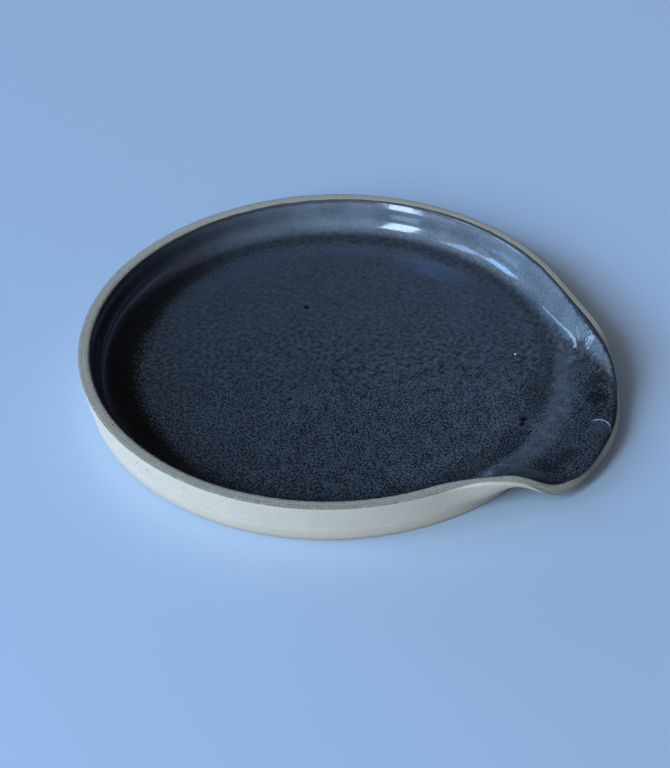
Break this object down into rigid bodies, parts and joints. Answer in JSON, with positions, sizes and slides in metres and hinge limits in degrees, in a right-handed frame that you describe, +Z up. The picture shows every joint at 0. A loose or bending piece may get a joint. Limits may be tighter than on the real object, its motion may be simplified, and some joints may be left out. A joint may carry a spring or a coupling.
{
  "type": "spoon rest",
  "caption": "Low round stoneware dish with a flat raw-clay rim, dark glaze inside, and a pulled lip where a spoon's handle lies.",
  "frame": {"origin": "centre of the flat foot, on the surface that the dish stands on", "axes": "+Z up out of the dish, +X out through the middle of the lip"},
  "size_m": [0.1415, 0.1298, 0.0125],
  "materials": {
    "raw_clay": "matt unglazed stoneware, pale grey-buff",
    "dark_glaze": "glossy mottled blue-grey glaze, darker where it pools"
  },
  "bodies": {
    "root": {"clay_body": "raw_clay", "glaze_lining": "dark_glaze"}
  },
  "joints": []
}
